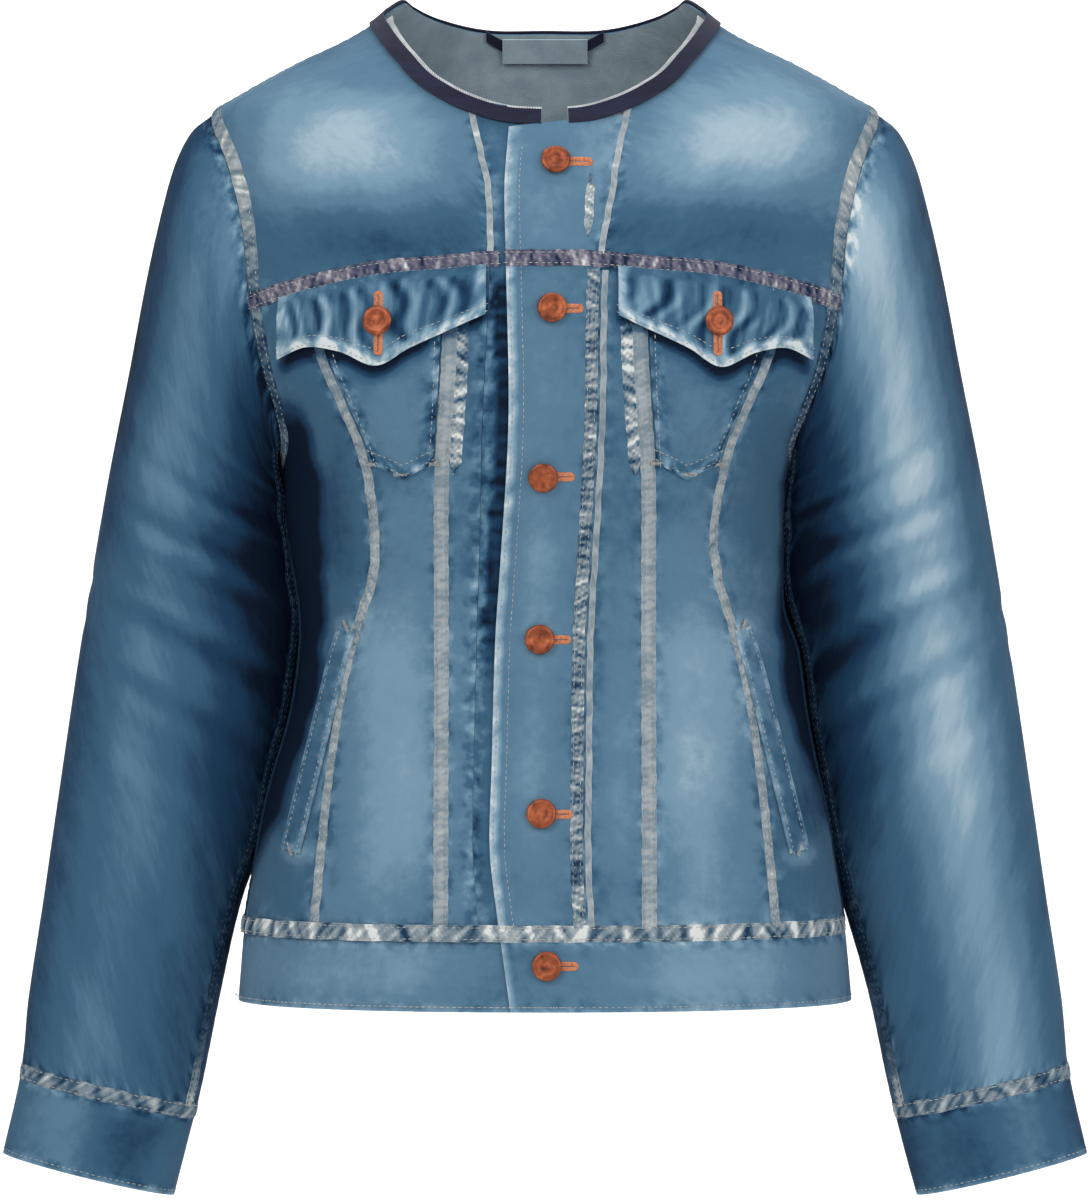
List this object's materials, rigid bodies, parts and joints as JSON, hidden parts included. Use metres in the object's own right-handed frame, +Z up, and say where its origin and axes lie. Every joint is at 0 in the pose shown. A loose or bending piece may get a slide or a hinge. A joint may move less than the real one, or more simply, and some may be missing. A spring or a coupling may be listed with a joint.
{
  "type": "denim jacket",
  "caption": "Collarless denim jacket, buttoned and filled out hollow as if worn, with yokes, flapped chest pockets, slanted side pockets, hem band and long cuffed sleeves.",
  "frame": {"origin": "middle of the neck opening, level with the shoulder seams' neck ends, where the wearer's shoulders hold the jacket", "axes": "+Z up, -Y out of the jacket's front, +X to the right of someone facing the front"},
  "size_m": [0.63, 0.2335, 0.6946],
  "materials": {
    "denim": "worn mid-blue twill, faded and abraded",
    "binding": "dark navy flat tape",
    "tape": "pale grey cotton tape",
    "inside_cloth": "grey-blue back of the twill",
    "copper": "worn copper"
  },
  "bodies": {
    "root": {"front_yoke_left": "denim", "front_yoke_right": "denim", "front_centre_left": "denim", "front_centre_right": "denim", "front_middle_left": "denim", "front_middle_right": "denim", "front_side_left": "denim", "front_side_right": "denim", "chest_pocket_left": "denim", "chest_pocket_right": "denim", "pocket_flap_left": "denim", "pocket_flap_right": "denim", "side_welt_left": "denim", "side_welt_right": "denim", "back_yoke": "denim", "back_centre": "denim", "back_side_left": "denim", "back_side_right": "denim", "placket": "denim", "under_placket": "denim", "hem_band": "denim", "top_sleeve_left": "denim", "top_sleeve_right": "denim", "under_sleeve_left": "denim", "under_sleeve_right": "denim", "cuff_left": "denim", "cuff_right": "denim", "neck_binding": "binding", "hanger_loop": "binding", "neck_tape_left": "tape", "neck_tape_right": "tape", "neck_tab": "inside_cloth", "centre_button_1": "copper", "centre_button_2": "copper", "centre_button_3": "copper", "centre_button_4": "copper", "centre_button_5": "copper", "centre_button_6": "copper", "flap_button_left": "copper", "flap_button_right": "copper"}
  },
  "joints": []
}
